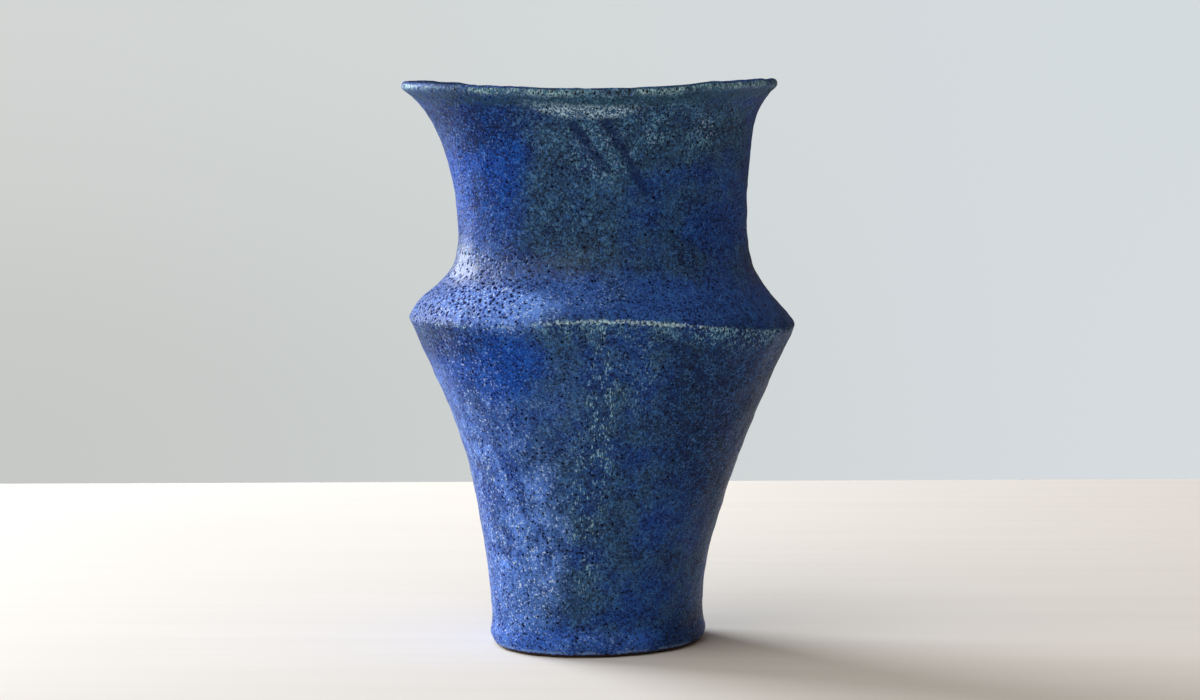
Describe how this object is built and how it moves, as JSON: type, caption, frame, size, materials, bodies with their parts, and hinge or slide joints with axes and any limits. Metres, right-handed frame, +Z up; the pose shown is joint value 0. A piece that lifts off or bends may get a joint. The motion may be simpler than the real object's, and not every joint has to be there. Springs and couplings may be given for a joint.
{
  "type": "vase",
  "caption": "Hand-built oval stoneware vase with a small foot, a sharp keeled shoulder, a straight neck and a flared wavy lip, in crusty blue glaze.",
  "frame": {"origin": "middle of the overall box, at the flat underside that the vase stands on", "axes": "+Z up along the height; +X to the vase's right as seen from the front, along the wide way of the oval; -Y is the front"},
  "size_m": [0.2435, 0.202, 0.3501],
  "materials": {
    "bare_clay": "unglazed dark brown stoneware, matte and slightly gritty",
    "blue_glaze": "crusty satin cobalt glaze, mottled with teal, pale green breaks on the rim and keel, dark pinholes",
    "dark_glaze": "thin satin brown-black lining glaze"
  },
  "bodies": {
    "root": {"floor_slab": "bare_clay", "foot_roll": "bare_clay", "lower_wall": "bare_clay", "floor_seam_coil": "bare_clay", "keel_seam_coil": "bare_clay", "shoulder_wall": "bare_clay", "neck_wall": "bare_clay", "flared_lip": "bare_clay", "rim_coil": "bare_clay", "outer_glaze": "blue_glaze", "liner_glaze": "dark_glaze"}
  },
  "joints": []
}
